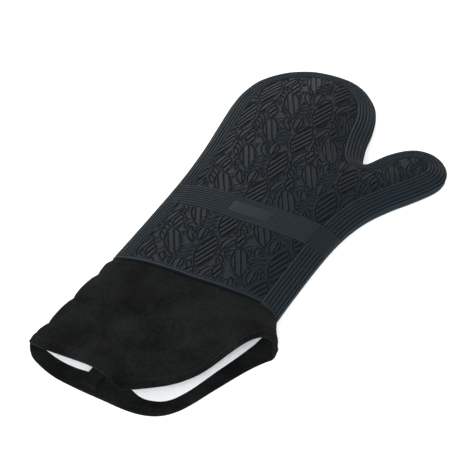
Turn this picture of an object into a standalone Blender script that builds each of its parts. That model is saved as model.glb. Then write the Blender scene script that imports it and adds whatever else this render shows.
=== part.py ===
"""Long oven mitt: two moulded silicone skins over padded cotton, with a canvas cuff.

The mitt lies on its back skin, palm up, with its fingers towards +Y and its thumb towards +X. Every layer is
one family of surfaces: a point of the outer skin moved inwards by a depth. A layer is what lies between two
depths. The skin, the wadding and the lining are each cut at the finger fold and at the thumb fold, with a strip
between the cuts that bends with the fold.
"""
import math

import bmesh
import bpy
import numpy as np
from mathutils import Vector
from mathutils.geometry import delaunay_2d_cdt

MM = 0.001

# Plan of the mitt in millimetres: y is 0 at the seam between silicone and cuff, x is 0 on the forearm's axis.
OUTLINE = [
    (-76, -135), (-74, -95), (-72, -75), (-70, -53), (-67.5, -28), (-66.8, -8), (-66.8, 32), (-67.2, 68),
    (-68.3, 105), (-71.7, 142), (-77, 178.5), (-79.8, 200), (-80, 216.5), (-77, 233.5), (-70.5, 246),
    (-60, 258), (-46, 267), (-34, 270.8), (-20, 272.4), (-7, 271.2), (6, 265.3), (18.6, 254), (26.5, 241),
    (31.8, 226), (35.5, 208), (39, 196), (42, 187.5), (45, 184.5), (48, 188.5), (51.5, 196), (56, 204),
    (63.5, 213), (73, 219.3), (85, 220.8), (97, 215.5), (104, 206.5), (106, 197), (104, 188), (99, 177.5),
    (92.5, 165.5), (86.2, 154.4), (80.4, 142.5), (75.1, 129.6), (70.8, 114.8), (67.8, 98.7), (66.2, 81),
    (65.6, 62), (65.6, 40), (66, 20), (66.5, 5), (68.2, -3), (73.2, -9.5), (78, -16), (81, -23),
    (82, -32), (82, -60), (82, -135)]
MOUTH_LEFT_Y = -94
MOUTH_RIGHT_Y = -24
MOUTH_BACK = [(-62, -108.5), (-46, -114.4), (-24, -116.2), (-4, -116), (14, -115), (28, -111.5), (39, -104.5),
              (47, -94), (53, -81), (58.5, -66), (65, -49)]
MOUTH_PALM = [(-60, -101.5), (-44, -104), (-26, -106), (-8, -109), (8, -109), (22, -104), (34, -95.5),
              (44.5, -84), (53, -68), (61, -48)]
ORIGIN_SHIFT = (-13.0, -78.0)     # brings the middle of the whole mitt's box to x = 0, y = 0

# Section through the mitt, millimetres
PARTING_Z = 7.0                   # height of the joint between the palm skin and the back skin
WALL_RISE = 7.0                   # from the joint up to the edge of the palm, and down to the back
WALL_ROUND = 7.0                  # how far in from the outline the rounded wall ends
DOME_RISE = 9.0                   # the palm swells by this much over the padding and the hand space
DOME_REACH = 18.0                 # how far from the wall the swelling needs to level out
HALF_GAP = 0.15                   # palm and back halves each stay this far from the joint
CUFF_DROP = 1.9                   # the cuff hangs down from under the silicone, almost to the ground
CUFF_DROP_START = 4.0             # how far below the seam the drop begins
CUFF_DROP_LENGTH = 22.0
SKIN = (0.0, 2.3)                 # depths of each layer's two faces below the outer surface
WADDING = (2.8, 4.7)
LINING = (5.3, 6.0)
CUFF = (2.7, 3.7)
BINDING = (4.4, 5.8)
CUFF_TUCK = 8.0                   # the cuff reaches this far up inside the silicone
WADDING_END = 8.6
FACET_ROWS = (0.0, 8.3)           # rows of facet corners under the seam and where the wadding ends
FACET_ROW_X = range(-48, 49, 12)
BINDING_WIDTH = 13.0
LINING_CLEARANCE = 2.0            # between the lining's end and the binding

# Folds, millimetres and plan directions
FINGER_FOLD = (186.0, 212.0)      # the fingers bend between these two heights
THUMB_DIRECTION = Vector((0.6, 0.8))
THUMB_FOLD = (175.5, 195.5)       # the thumb bends between these distances along its direction
CROTCH_X = 45.0
FINGER_FOLD_X = -25.0             # middle of the fingers
FOLD_Z = 12.0                     # height of both fold axes
SECTION_GAP = 0.4

# Hanging loop and stitching, millimetres
LOOP_X = -17.0
LOOP_Y = (-111.5, -83.0)
LOOP_WIDTH = 10.0
LOOP_Z = (4.5, 6.1)
STITCH_INSET = 9.0                # the row of stitches runs this far in from the mouth
THREAD_WIDTH = 0.8
THREAD = (1.95, 2.4)              # depths of the thread, which lies on the canvas

# Mesh steps, millimetres
SMOOTH_STEP = 1.0
LONGEST_CHORD = 16.0
CHORD_ERROR = 0.35
INNER_STEP = 16.0
BORDER_CLEAR = 8.0
DOME_GRID = 3.0
DOME_PASSES = 900                 # rounds that let the swelling settle
ROW_HEIGHT = 0.866                # rows of equal triangles, as a share of their side
END_POINTS_CLEAR = 3              # outline points left out beside a half's two ends
SHARP_EDGE = 35.0                 # degrees
WALL_ANGLES = (0.0, 45.0)

COLOURS = {
    "silicone": ((0.030, 0.036, 0.042, 1), 0.55),
    "wadding": ((0.75, 0.74, 0.70, 1), 0.95),
    "lining": ((0.82, 0.82, 0.80, 1), 0.95),
    "canvas": ((0.012, 0.014, 0.014, 1), 0.90),
    "thread": ((0.015, 0.016, 0.017, 1), 0.80),
}


def clear_scene():
    for item in list(bpy.data.objects):
        bpy.data.objects.remove(item, do_unlink=True)


def material(name):
    found = bpy.data.materials.get(name)
    if found:
        return found
    colour, roughness = COLOURS[name]
    made = bpy.data.materials.new(name)
    made.use_nodes = True
    shader = made.node_tree.nodes["Principled BSDF"]
    shader.inputs["Base Color"].default_value = colour
    shader.inputs["Roughness"].default_value = roughness
    shader.inputs["Metallic"].default_value = 0.0
    return made


def smooth_line(points, step=SMOOTH_STEP):
    """A Catmull-Rom curve through the points, sampled about every step millimetres."""
    p = [np.array(q, float) for q in points]
    p = [2 * p[0] - p[1]] + p + [2 * p[-1] - p[-2]]
    line = []
    for a, b, c, d in zip(p, p[1:], p[2:], p[3:]):
        count = max(2, int(round(np.linalg.norm(c - b) / step)))
        for t in np.arange(count) / count:
            line.append(0.5 * (2 * b + (c - a) * t + (2 * a - 5 * b + 4 * c - d) * t * t
                               + (3 * b - a - 3 * c + d) * t ** 3))
    line.append(p[-2])
    return np.array(line)


def thin_out(line):
    """Indices that keep the line's shape within CHORD_ERROR, with no chord over LONGEST_CHORD."""
    keep = [0]
    for end in range(1, len(line)):
        start = keep[-1]
        chord = line[end] - line[start]
        length = np.linalg.norm(chord)
        across = np.array([-chord[1], chord[0]]) / length
        bulge = np.abs((line[start:end] - line[start]) @ across).max()
        if length > LONGEST_CHORD or bulge > CHORD_ERROR:
            keep.append(end - 1)
    return keep + [len(line) - 1]


def nearest_on_outline(y):
    """Indices of the outline's points at this height, left and right."""
    tip = int(np.argmax(FINE[:, 1]))
    return int(np.argmin(np.abs(FINE[:tip, 1] - y))), tip + int(np.argmin(np.abs(FINE[tip:, 1] - y)))


def facet_corners():
    """The outline's corners that every layer shares, with one at each end of a facet row."""
    forced = [i for y in FACET_ROWS for i in nearest_on_outline(y)]
    return sorted(set(thin_out(FINE)) | set(forced))


def inward_normals(line):
    """Plan normals that point into the mitt. The outline runs clockwise, so inwards is to the right."""
    along = np.gradient(line, axis=0)
    along /= np.linalg.norm(along, axis=1)[:, None]
    return np.stack([along[:, 1], -along[:, 0]], axis=1)


def inside(polygon, x, y):
    """True where the points x, y lie inside the closed polygon."""
    result = np.zeros(np.shape(x), bool)
    for (x0, y0), (x1, y1) in zip(polygon, np.roll(polygon, -1, axis=0)):
        if y0 != y1:
            crosses = ((y0 > y) != (y1 > y)) & (x < (x1 - x0) * (y - y0) / (y1 - y0) + x0)
            result ^= crosses
    return result


def dome_field(wall_top):
    """The palm's swelling on a grid: a stretched membrane under pressure, held down along the wall."""
    low = wall_top.min(axis=0) - 2 * DOME_GRID
    high = wall_top.max(axis=0) + 2 * DOME_GRID
    xs = np.arange(low[0], high[0], DOME_GRID)
    ys = np.arange(low[1], high[1], DOME_GRID)
    grid_x, grid_y = np.meshgrid(xs, ys)
    free = inside(wall_top, grid_x, grid_y)
    height = np.zeros(grid_x.shape)
    for _ in range(DOME_PASSES):
        padded = np.pad(height, 1, mode="edge")
        around = padded[:-2, 1:-1] + padded[2:, 1:-1] + padded[1:-1, :-2] + padded[1:-1, 2:]
        height = np.where(free, (around + 1.0) / (4 + (DOME_GRID / DOME_REACH) ** 2), 0.0)
        open_end = np.argmax(free.any(axis=1))
        height[open_end - 1] = height[open_end]
    return xs, ys, height / height.max()


def dome_height(x, y):
    """The swelling in millimetres at one plan point."""
    xs, ys, field = DOME
    column = min(max((x - xs[0]) / DOME_GRID, 0), len(xs) - 1.001)
    row = min(max((y - ys[0]) / DOME_GRID, 0), len(ys) - 1.001)
    i, j = int(column), int(row)
    u, v = column - i, row - j
    low = field[j, i] * (1 - u) + field[j, i + 1] * u
    high = field[j + 1, i] * (1 - u) + field[j + 1, i + 1] * u
    return DOME_RISE * (low * (1 - v) + high * v)


def drop(y):
    """How far the cuff hangs below the silicone's level."""
    t = min(max((-y - CUFF_DROP_START) / CUFF_DROP_LENGTH, 0), 1)
    return CUFF_DROP * t * t * (3 - 2 * t)


def cap_z(side, x, y):
    """Height of the outer surface inside the rounded wall; side is 1 for the palm and -1 for the back."""
    rise = WALL_RISE + HALF_GAP + (dome_height(x, y) if side > 0 else -HALF_GAP)
    return PARTING_Z + side * rise - drop(y)


def distance_to(line, point):
    start, end = line[:-1], line[1:]
    along = end - start
    t = np.clip(((point - start) * along).sum(1) / (along ** 2).sum(1), 0, 1)
    return np.linalg.norm(start + along * t[:, None] - point, axis=1).min()


def inner_points():
    """The same plan points for every layer, so that layers a hair apart have the same facets."""
    rows = {y: FACET_ROW_X for y in FACET_ROWS}
    for row in range(-8, 20):
        y = row * INNER_STEP * ROW_HEIGHT
        if min(abs(y - facet_row) for facet_row in FACET_ROWS) > BORDER_CLEAR:
            rows[y] = np.arange(-7, 8) * INNER_STEP + (row % 2) * INNER_STEP / 2
    return [np.array([x, y]) for y, xs in rows.items() for x in xs]


def half_surface(side, left_y, right_y, end_points):
    """The outer surface of one half down to an end line, with each point's inward direction in a layer."""
    first, last = nearest_on_outline(left_y)[0], nearest_on_outline(right_y)[1]
    between = [i for i in CORNERS if first + END_POINTS_CLEAR < i < last - END_POINTS_CLEAR]
    picked = np.array([first] + between + [last])
    rim, normals = FINE[picked], FINE_NORMALS[picked]
    wall_top = rim + normals * WALL_ROUND
    border = np.vstack([wall_top, list(reversed(end_points))])
    closed = np.vstack([border, border[:1]])
    inner = [p for p in inner_points() if inside(border, p[0], p[1]) and distance_to(closed, p) > BORDER_CLEAR]
    plan = [Vector(p) for p in list(border) + inner]
    ring = [(i, (i + 1) % len(border)) for i in range(len(border))]
    points, _, faces, sources, _, _ = delaunay_2d_cdt(plan, ring, [], 1, 1e-4)

    mesh = bmesh.new()
    inward = mesh.verts.layers.float_vector.new("inward")

    def add(x, y, z, direction):
        vert = mesh.verts.new((x, y, z))
        vert[inward] = direction
        return vert

    cap = [add(p.x, p.y, cap_z(side, p.x, p.y), (0, 0, -side)) for p in points]
    top_row = {source[0]: vert for source, vert in zip(sources, cap) if source}
    wall = []
    for angle in WALL_ANGLES:
        sine, cosine = math.sin(math.radians(angle)), math.cos(math.radians(angle))
        row = []
        for (x, y), (nx, ny) in zip(rim, normals):
            reach = WALL_ROUND * (1 - cosine)
            z = PARTING_Z + side * (HALF_GAP + WALL_RISE * sine) - drop(y)
            if side < 0:
                z += HALF_GAP * sine
            row.append(add(x + nx * reach, y + ny * reach, z, (nx * cosine, ny * cosine, -side * sine)))
        wall.append(row)
    wall.append([top_row[i] for i in range(len(rim))])
    for face in faces:
        mesh.faces.new([cap[i] for i in face])
    for low, high in zip(wall, wall[1:]):
        for i in range(len(rim) - 1):
            mesh.faces.new((low[i], low[i + 1], high[i + 1], high[i]))
    bmesh.ops.recalc_face_normals(mesh, faces=mesh.faces)
    return mesh


def mouth_strip(side, mouth, near, far):
    """A strip of the outer surface that follows the mouth, from near to far millimetres in from it."""
    line = smooth_line(mouth)
    normals = -inward_normals(line)
    mesh = bmesh.new()
    inward = mesh.verts.layers.float_vector.new("inward")
    rows = []
    for i in thin_out(line):
        row = []
        for reach in (near, (near + far) / 2, far):
            x, y = line[i] + normals[i] * reach
            vert = mesh.verts.new((x, y, cap_z(side, x, y)))
            vert[inward] = (0, 0, -side)
            row.append(vert)
        rows.append(row)
    for a, b in zip(rows, rows[1:]):
        for j in range(2):
            mesh.faces.new((a[j], a[j + 1], b[j + 1], b[j]))
    return mesh


def keep_side(mesh, point, normal):
    """Cuts the surface with an upright plane and keeps the side that the normal points away from."""
    geometry = mesh.verts[:] + mesh.edges[:] + mesh.faces[:]
    bmesh.ops.bisect_plane(mesh, geom=geometry, dist=1e-4, plane_co=(point[0], point[1], 0),
                           plane_no=(normal[0], normal[1], 0), clear_outer=True)


def thicken(mesh, depths, side):
    """A closed layer between two depths below the surface."""
    bmesh.ops.triangulate(mesh, faces=mesh.faces[:], quad_method="FIXED")
    inward = mesh.verts.layers.float_vector["inward"]
    mesh.verts.index_update()
    solid = bmesh.new()
    shift = Vector((ORIGIN_SHIFT[0], ORIGIN_SHIFT[1], 0))
    copies = []
    for depth in depths:
        copies.append([solid.verts.new((v.co + v[inward] * depth + shift) * MM) for v in mesh.verts])
    outer, inner = copies
    for face in mesh.faces:
        index = [v.index for v in face.verts]
        solid.faces.new([outer[i] for i in index])
        solid.faces.new([inner[i] for i in reversed(index)])
    for edge in mesh.edges:
        if len(edge.link_faces) == 1:
            a, b = (v.index for v in edge.verts)
            solid.faces.new((outer[a], outer[b], inner[b], inner[a]))
    bmesh.ops.recalc_face_normals(solid, faces=solid.faces)
    mesh.free()
    return solid


def add_object(name, solid, material_name, pivot=None):
    mesh = bpy.data.meshes.new(name)
    solid.to_mesh(mesh)
    solid.free()
    mesh.materials.append(material(material_name))
    for face in mesh.polygons:
        face.use_smooth = True
    mesh.set_sharp_from_angle(angle=math.radians(SHARP_EDGE))
    made = bpy.data.objects.new(name, mesh)
    bpy.context.scene.collection.objects.link(made)
    if pivot is not None:
        made.parent = pivot
        made.matrix_parent_inverse = pivot.matrix_world.inverted()
    return made


def add_pivot(name, location):
    pivot = bpy.data.objects.new(name, None)
    pivot.location = location
    bpy.context.scene.collection.objects.link(pivot)
    bpy.context.view_layer.update()
    return pivot


def section_cuts():
    """For each section of the hand, the planes that bound it, as a point and the normal of the side lost."""
    thumb = THUMB_DIRECTION
    finger_low, finger_high = FINGER_FOLD
    thumb_low, thumb_high = THUMB_FOLD
    gap = SECTION_GAP
    beyond_fingers = ((CROTCH_X, 0), (-1, 0))
    beside_thumb = ((CROTCH_X, 0), (1, 0))
    return {
        "hand": [((0, finger_low), (0, 1)), (thumb * thumb_low, thumb)],
        "fingers": [((0, finger_high), (0, -1)), beside_thumb],
        "thumb": [(thumb * thumb_high, -thumb), beyond_fingers],
        "finger_bend": [((0, finger_low + gap), (0, -1)), ((0, finger_high - gap), (0, 1)), beside_thumb],
        "thumb_bend": [(thumb * (thumb_low + gap), -thumb), (thumb * (thumb_high - gap), thumb), beyond_fingers],
    }


def build_hand_layers(pivots):
    """The skin, wadding and lining of both sides, each in its sections."""
    seam = [(x, 0) for x in FACET_ROW_X]
    wadding_end = [(x, WADDING_END) for x in FACET_ROW_X]
    layers = {
        "skin": ("silicone", SKIN, 0.0, 0.0, {1: seam, -1: seam}),
        "wadding": ("wadding", WADDING, WADDING_END, WADDING_END, {1: wadding_end, -1: wadding_end}),
        "lining": ("lining", LINING, MOUTH_LEFT_Y + BINDING_WIDTH, MOUTH_RIGHT_Y + BINDING_WIDTH,
                   {1: lining_end(MOUTH_PALM), -1: lining_end(MOUTH_BACK)}),
    }
    for layer, (material_name, depths, left_y, right_y, ends) in layers.items():
        for side_name, side in (("palm", 1), ("back", -1)):
            for section, cuts in section_cuts().items():
                mesh = half_surface(side, left_y, right_y, ends[side])
                for point, normal in cuts:
                    keep_side(mesh, point, normal)
                add_object(f"{side_name}_{layer}_{section}", thicken(mesh, depths, side), material_name,
                           pivots.get(section))


def lining_end(mouth):
    """The lining stops where the binding's strip begins."""
    line = smooth_line(mouth)
    inner = line - inward_normals(line) * (BINDING_WIDTH + LINING_CLEARANCE)
    return [tuple(inner[i]) for i in thin_out(line)]


def build_cuff():
    """The canvas panels of the cuff, the binding inside its mouth and the thread that holds the two."""
    for side_name, side, mouth in (("palm", 1, MOUTH_PALM), ("back", -1, MOUTH_BACK)):
        edge = smooth_line(mouth)
        panel = half_surface(side, MOUTH_LEFT_Y, MOUTH_RIGHT_Y, list(edge[thin_out(edge)]))
        keep_side(panel, (0, CUFF_TUCK), (0, 1))
        add_object(f"{side_name}_cuff_panel", thicken(panel, CUFF, side), "canvas")
        binding = mouth_strip(side, mouth, 0.0, BINDING_WIDTH)
        add_object(f"{side_name}_mouth_binding", thicken(binding, BINDING, side), "canvas")
        row = mouth_strip(side, mouth, STITCH_INSET, STITCH_INSET + THREAD_WIDTH)
        add_object(f"{side_name}_mouth_stitching", thicken(row, THREAD, side), "thread")


def build_hanging_loop(pivot):
    """A doubled tape lying on the lining inside the mouth, its folded end towards the hand."""
    half = LOOP_WIDTH / 2
    y0, y1 = LOOP_Y
    round_end = [(half * math.sin(a), y1 - half + half * math.cos(a)) for a in np.radians(range(90, -91, -30))]
    edge = [(-half, y0), (half, y0)] + round_end
    solid = bmesh.new()
    base = [solid.verts.new(Vector((LOOP_X + x + ORIGIN_SHIFT[0], y + ORIGIN_SHIFT[1], LOOP_Z[0])) * MM)
            for x, y in edge]
    face = solid.faces.new(base)
    raised = bmesh.ops.extrude_face_region(solid, geom=[face])["geom"]
    top = [item for item in raised if isinstance(item, bmesh.types.BMVert)]
    bmesh.ops.translate(solid, verts=top, vec=(0, 0, (LOOP_Z[1] - LOOP_Z[0]) * MM))
    bmesh.ops.recalc_face_normals(solid, faces=solid.faces)
    add_object("hanging_loop", solid, "canvas", pivot)


def main():
    clear_scene()
    shift = Vector((ORIGIN_SHIFT[0], ORIGIN_SHIFT[1], 0))
    finger_y = sum(FINGER_FOLD) / 2
    thumb_point = THUMB_DIRECTION * (sum(THUMB_FOLD) / 2)
    pivots = {
        "fingers": add_pivot("finger_fold_axis", (Vector((FINGER_FOLD_X, finger_y, FOLD_Z)) + shift) * MM),
        "thumb": add_pivot("thumb_fold_axis", (Vector((thumb_point.x, thumb_point.y, FOLD_Z)) + shift) * MM),
        "loop": add_pivot("loop_axis", (Vector((LOOP_X, LOOP_Y[0], LOOP_Z[0])) + shift) * MM),
    }
    build_hand_layers(pivots)
    build_cuff()
    build_hanging_loop(pivots["loop"])


FINE = smooth_line(OUTLINE)
FINE_NORMALS = inward_normals(FINE)
CORNERS = facet_corners()
DOME = dome_field(FINE + FINE_NORMALS * WALL_ROUND)
main()
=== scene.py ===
"""Looks of a long oven mitt: two relief-moulded silicone skins, padded cotton inside and a black canvas cuff.

The mitt lies palm up with its fingers towards +Y and its thumb towards +X. Shapes are worked out in plan
millimetres, with y = 0 at the seam between silicone and cuff and x = 0 on the forearm's axis, and are moved
into the frame at the end. A side of 1 stands for the palm's half and -1 for the back's.
"""
import math

import bpy
import numpy as np
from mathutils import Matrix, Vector
from mathutils.geometry import delaunay_2d_cdt


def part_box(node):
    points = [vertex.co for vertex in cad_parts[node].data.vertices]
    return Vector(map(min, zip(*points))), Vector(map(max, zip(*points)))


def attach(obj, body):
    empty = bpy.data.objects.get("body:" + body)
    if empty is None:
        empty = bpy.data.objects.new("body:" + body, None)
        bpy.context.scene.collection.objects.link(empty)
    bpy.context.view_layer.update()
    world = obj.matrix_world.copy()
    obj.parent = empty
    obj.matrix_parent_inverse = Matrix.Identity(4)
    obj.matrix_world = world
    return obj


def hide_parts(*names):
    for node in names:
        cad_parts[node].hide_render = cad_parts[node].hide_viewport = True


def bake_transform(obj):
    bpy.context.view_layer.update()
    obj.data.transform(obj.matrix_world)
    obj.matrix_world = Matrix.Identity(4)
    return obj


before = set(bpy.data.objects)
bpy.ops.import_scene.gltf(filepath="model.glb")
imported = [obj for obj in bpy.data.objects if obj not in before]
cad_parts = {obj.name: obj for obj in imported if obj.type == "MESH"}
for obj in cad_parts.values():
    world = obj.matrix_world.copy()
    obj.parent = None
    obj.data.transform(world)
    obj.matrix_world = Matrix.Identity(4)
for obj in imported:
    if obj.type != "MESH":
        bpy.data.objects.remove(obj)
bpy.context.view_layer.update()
MM = 0.001

# Plan of the whole mitt, millimetres
OUTLINE = [
    (-76, -135), (-74, -95), (-72, -75), (-70, -53), (-67.5, -28), (-66.8, -8), (-66.8, 32), (-67.2, 68),
    (-68.3, 105), (-71.7, 142), (-77, 178.5), (-79.8, 200), (-80, 216.5), (-77, 233.5), (-70.5, 246),
    (-60, 258), (-46, 267), (-34, 270.8), (-20, 272.4), (-7, 271.2), (6, 265.3), (18.6, 254), (26.5, 241),
    (31.8, 226), (35.5, 208), (39, 196), (42, 187.5), (45, 184.5), (48, 188.5), (51.5, 196), (56, 204),
    (63.5, 213), (73, 219.3), (85, 220.8), (97, 215.5), (104, 206.5), (106, 197), (104, 188), (99, 177.5),
    (92.5, 165.5), (86.2, 154.4), (80.4, 142.5), (75.1, 129.6), (70.8, 114.8), (67.8, 98.7), (66.2, 81),
    (65.6, 62), (65.6, 40), (66, 20), (66.5, 5), (68.2, -3), (73.2, -9.5), (78, -16), (81, -23),
    (82, -32), (82, -60), (82, -135)]
SEAM_ENDS = ((-66.8, 0.0), (66.7, 0.0))
SKIN_OUTLINE = [SEAM_ENDS[0]] + OUTLINE[6:-7] + [SEAM_ENDS[1]]

# Section through the mitt, millimetres
PARTING_Z = 7.0  # height of the joint between the palm skin and the back skin
PARTING_GAP = 0.1  # half of the fine line between the two
WALL = 7.0  # radius of the rounded side wall
WALL_ARC = WALL * math.pi / 2
DOME_RISE = 9.0  # the palm swells by this much over the hand space
DOME_REACH = 18.0  # the swelling grows over about this distance from the wall
DOME_GRID = 2.0
DOME_MARGIN = 16
DOME_ROUNDS = 1500
DOME_SOFTENING_ROUNDS = 5
DISTANCE_BLOCKS = 60  # distances are worked out in this many lots, to save memory
SKIN_DEPTH = 2.3
WADDING_DEPTHS = (2.8, 4.7)  # under the silicone's outer surface
LINING_DEPTHS = (5.3, 6.0)
WADDING_START_Y = 8.6
LINING_START_Y = 0.0
FINGER_FOLD = (186.0, 212.0)
CROTCH_X = 45.0

# Relief on the silicone, millimetres
RIB_PITCH = 2.5
RIB_HEIGHT = 0.7
VALLEY = 0.5  # depth of the valleys between ribs, and between the ridges of the band
RIB_STEP = RIB_PITCH / 6  # rows of points across the rim
FRAME_LINE = 41 * RIB_STEP  # distance from the joint to the thin raised line around the pattern
STRIP_END = 44 * RIB_STEP
STRIP_REACH = STRIP_END - WALL_ARC + WALL  # the same in plan
FACE_STEP = 0.375  # grid of points on the palm, which meets all the band's ridges the same way
BAND_PITCH = 7 * FACE_STEP
BAND = (186 * FACE_STEP, 249 * FACE_STEP)  # the ribbed cross band: from, to
BAND_RIDGE = 0.65
BAND_MARGIN = 0.5  # the foliage stops this far from the band
PLATE = (-14.5, 17.0, 75.4, 88.2)  # its left, right, lower and upper side
PLATE_RISE = 0.32
LIP = (0.0, 2.2, 0.55)  # raised lip along the seam: from, to, height
PATTERN_START = 4.2
FRAME_BOTTOM = 0.5  # height of the frame line's lower side
SLOT_DEPTH = 1.0
GROOVE_DEPTH = 0.9
LINE_RISE = 0.45
LINE_WIDTH = 0.4
GROOVE_OFFSET = 0.85  # from the middle of a raised line to the middle of the groove beside it
GROOVE_WIDTH = 0.4
EDGE_SOFTNESS = 0.4
LEAF_EDGE = 1.5  # width of a leaf's raised edge with its groove
LEAF_FADE = 0.4  # the slots start this gently inside it
LEAF_SKIRT = 0.6  # the raised edge reaches this far outside the leaf's line
SLOT_PITCH = 3.6
SLOT_WIDTH = 0.9
SLOT_SLANT = math.radians(24)  # from the leaf's axis
CELL_PITCH = 4.2
FIRST_LEAF = (-4.5, 27.0)
LEAF_COLUMNS = 26.3  # spacing of the moulded leaves across and along the mitt
LEAF_ROWS = 36.5
COLUMN_SHIFT = 10.0  # every other column of slotted leaves starts this much higher
GROUND_COLUMNS = 11.0  # spacing of the small leaves that fill the space between them
GROUND_ROWS = 9.5
LEAN_PLACES = (-70, -50, 0, 30, 50, 70)  # how far the moulding is moved towards the fingers, by place across
LEAN = (-1.0, -1.0, 0.3, 3.2, 6.0, 6.5)
LEAN_FADE = (105, 185)  # the lean dies out between these places along the mitt

# Points of the meshes: spacing of the face's grid, of the rows up the side wall and of the columns along it,
# millimetres, and how many times closer the columns stand beside the band and the lip
PALM_MESH = (FACE_STEP, RIB_STEP, 1.3, 2.4)
BACK_MESH = (1.5 * FACE_STEP, 1.5 * RIB_STEP, 1.8, 2.0)
SOFT_MESH = (3.0, 2.2, 3.0, 1.0)
CLOSER_MARGIN = 2  # the columns stand closer this far beyond the band, and up to CLOSER_TOP at the seam
CLOSER_TOP = 4
BORDER_CLEARANCE = 0.6  # between the strip's inner border and the grid, in squares of the grid
SEAM_CLEARANCE = 0.5
# How a skin's free edges turn inwards: two more rows, each moved by x, y, z and sunk to a depth
JOINT_TURN = (((0, 0, -0.05), 0.25), ((0, 0, -0.08), SKIN_DEPTH))
SEAM_TURN = (((0, -0.25, 0), 0.45), ((0, -0.3, 0), SKIN_DEPTH))


def smooth_curve(points, counts):
    """A Catmull-Rom curve through rows of numbers, with a count of samples for each span between them."""
    points = np.asarray(points, float)
    p = np.vstack([2 * points[0] - points[1], points, 2 * points[-1] - points[-2]])
    spans = []
    for a, b, c, d, count in zip(p, p[1:], p[2:], p[3:], counts):
        t = (np.arange(count) / count)[:, None]
        spans.append(0.5 * (2 * b + (c - a) * t + (2 * a - 5 * b + 4 * c - d) * t ** 2
                            + (3 * b - a - 3 * c + d) * t ** 3))
    spans.append(points[-1:])
    return np.vstack(spans)


def smooth_line(points, step):
    """A smooth curve through the points, sampled about every step millimetres."""
    lengths = np.linalg.norm(np.diff(points, axis=0), axis=1)
    return smooth_curve(points, np.maximum(2, np.round(lengths / step).astype(int)))


def inward_normals(line):
    """Plan normals that point into the mitt. The outline runs clockwise, so inwards is to the right."""
    along = np.gradient(line, axis=0)
    along /= np.linalg.norm(along, axis=1)[:, None]
    return np.stack([along[:, 1], -along[:, 0]], axis=1)


def inside(polygon, x, y):
    """True where the points x, y lie inside the closed polygon."""
    result = np.zeros(np.shape(x), bool)
    for (x0, y0), (x1, y1) in zip(polygon, np.roll(polygon, -1, axis=0)):
        if y0 != y1:
            crosses = ((y0 > y) != (y1 > y)) & (x < (x1 - x0) * (y - y0) / (y1 - y0) + x0)
            result ^= crosses
    return result


def smoothstep(value, low, high):
    t = np.clip((value - low) / (high - low), 0, 1)
    return t * t * (3 - 2 * t)


def between(value, low, high, outside, within):
    """1 between low and high. It fades at each end, from within inside of it to outside beyond it."""
    rise = smoothstep(value, low - outside, low + within)
    return rise * (1 - smoothstep(value, high - within, high + outside))


class Grid:
    """Values on a square grid in plan, read between its points."""

    def __init__(self, low, high, step):
        self.xs = np.arange(low[0], high[0], step)
        self.ys = np.arange(low[1], high[1], step)
        self.step = step
        self.x, self.y = np.meshgrid(self.xs, self.ys)
        self.values = np.zeros(self.x.shape)

    def at(self, x, y):
        column = np.clip((x - self.xs[0]) / self.step, 0, len(self.xs) - 1.001)
        row = np.clip((y - self.ys[0]) / self.step, 0, len(self.ys) - 1.001)
        i, j = column.astype(int), row.astype(int)
        u, v = column - i, row - j
        f = self.values
        low = f[j, i] * (1 - u) + f[j, i + 1] * u
        high = f[j + 1, i] * (1 - u) + f[j + 1, i + 1] * u
        return low * (1 - v) + high * v


def neighbours(values):
    padded = np.pad(values, 1, mode="edge")
    return padded[:-2, 1:-1] + padded[2:, 1:-1] + padded[1:-1, :-2] + padded[1:-1, 2:]


def make_dome(wall_top):
    """The palm's swelling: a membrane under pressure, held down along the wall and then softened."""
    dome = Grid(wall_top.min(axis=0) - DOME_MARGIN, wall_top.max(axis=0) + DOME_MARGIN, DOME_GRID)
    free = inside(wall_top, dome.x, dome.y)
    first_row = int(np.argmax(free.any(axis=1)))
    height = np.zeros(dome.x.shape)
    for _ in range(DOME_ROUNDS):
        height = np.where(free, (neighbours(height) + 1.0) / (4 + (DOME_GRID / DOME_REACH) ** 2), 0.0)
        height[:first_row] = height[first_row]
    for _ in range(DOME_SOFTENING_ROUNDS):
        height = (neighbours(height) + 4 * height) / 8
    dome.values = DOME_RISE * height / height.max()
    return dome


def make_distance(line):
    """How far inside the outline each plan point is."""
    grid = Grid(line.min(axis=0) - 3, line.max(axis=0) + 3, 1.0)
    points = np.stack([grid.x.ravel(), grid.y.ravel()], axis=1)
    start, along = line[:-1], np.diff(line, axis=0)
    length = (along ** 2).sum(1)
    result = []
    for block in np.array_split(points, DISTANCE_BLOCKS):
        offset = block[:, None] - start[None]
        t = np.clip((offset * along).sum(2) / length, 0, 1)
        result.append(np.linalg.norm(offset - t[..., None] * along, axis=2).min(axis=1))
    grid.values = np.concatenate(result).reshape(grid.x.shape)
    return grid


WHOLE = smooth_line(OUTLINE, 1.0)
DOME = make_dome(WHOLE + inward_normals(WHOLE) * WALL)
SKIN_LINE = smooth_line(SKIN_OUTLINE, 0.2)
SKIN_NORMALS = inward_normals(SKIN_LINE)
DISTANCE = make_distance(smooth_line(SKIN_OUTLINE, 1.5))
SHIFT = np.array([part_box("palm_skin_thumb")[1].x / MM - WHOLE[:, 0].max(),
                  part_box("palm_skin_fingers")[1].y / MM - WHOLE[:, 1].max(), 0.0])


def to_frame(points):
    return (np.asarray(points, float) + SHIFT) * MM


# ---------------------------------------------------------------- relief

def ridge(distance, half_width, soft):
    """1 on a line, falling to 0 beyond half_width over the distance soft."""
    return smoothstep(half_width + soft / 2 - np.abs(distance), 0, soft)


def lens(u, v, half_length, half_width):
    """Distance inside a pointed leaf shape, measured from its edge."""
    reach = half_width * (1 - (u / half_length) ** 2)
    slope = 2 * half_width * u / half_length ** 2
    return (reach - np.abs(v)) / np.sqrt(1 + slope ** 2)


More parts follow.
